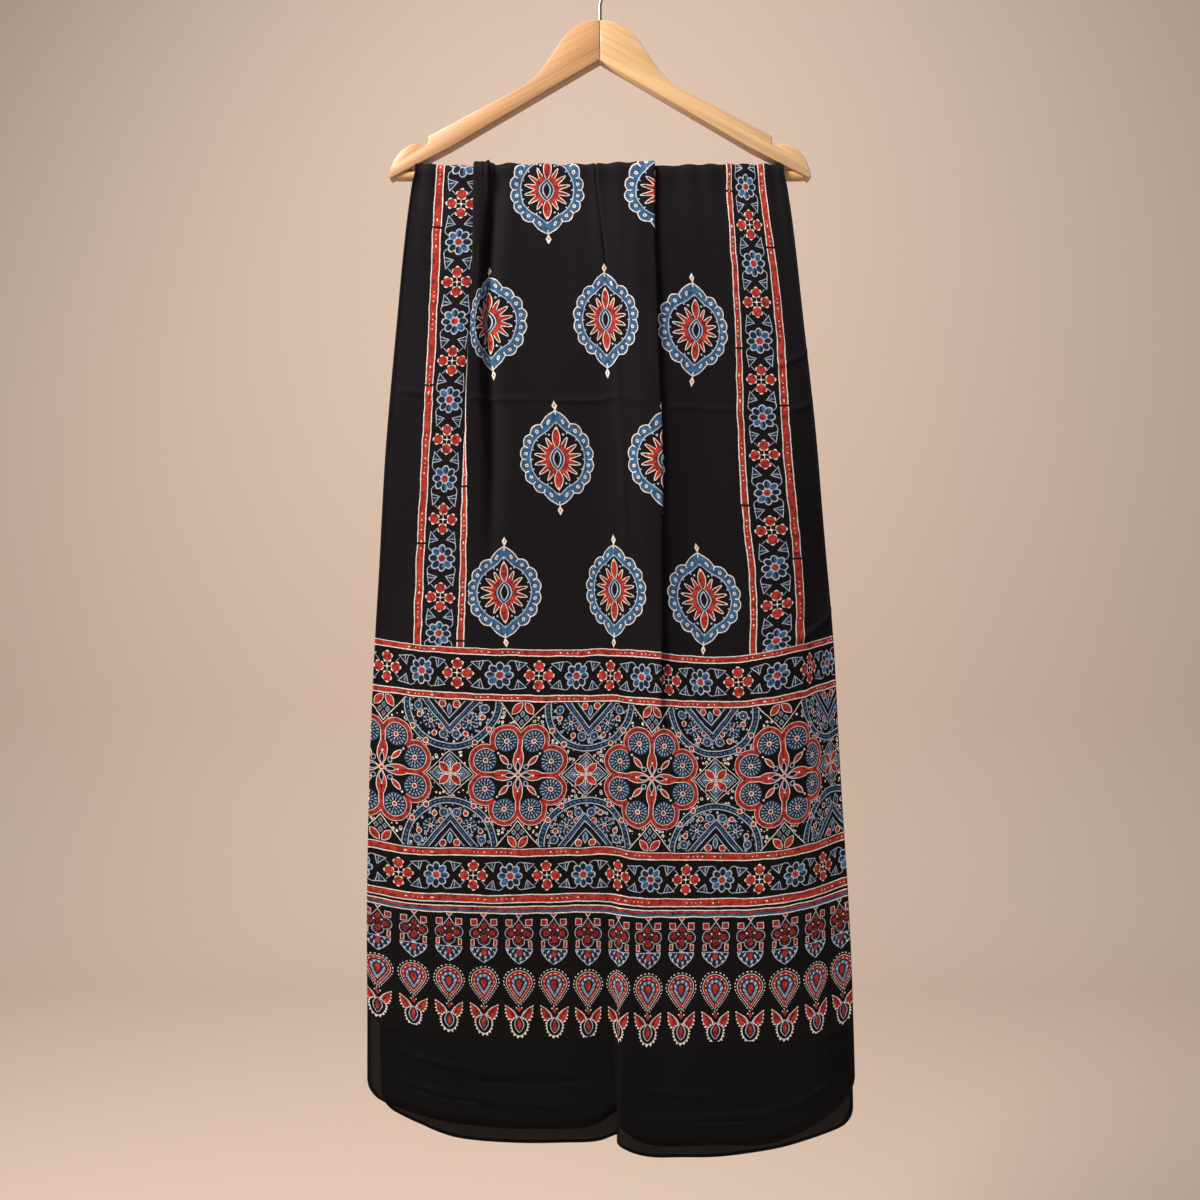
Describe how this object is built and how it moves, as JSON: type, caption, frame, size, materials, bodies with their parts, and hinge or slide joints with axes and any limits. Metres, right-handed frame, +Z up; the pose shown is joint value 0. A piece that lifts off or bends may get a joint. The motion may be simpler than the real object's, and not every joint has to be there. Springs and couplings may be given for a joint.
{
  "type": "ajrakh cloth on a clothes hanger",
  "caption": "Long block-printed ajrakh cloth hung double, in soft tucks, over the bar of a flat wooden clothes hanger with a wire hook.",
  "frame": {"origin": "inside top of the hook, where a rail carries the hanger", "axes": "+Z up, +X to the viewer's right along the bar, the cloth's front faces -Y"},
  "size_m": [0.5074, 0.0523, 1.2658],
  "materials": {
    "printed_cloth": "soft plain weave, resist and block printed in black, indigo, madder red and cream",
    "warm_wood": "clear satin lacquer",
    "pale_wood": "clear satin lacquer",
    "hook_steel": "bright plated wire"
  },
  "bodies": {
    "root": {"cloth": "printed_cloth", "arm_left": "warm_wood", "arm_right": "pale_wood", "bar": "pale_wood", "hook": "hook_steel"}
  },
  "joints": []
}
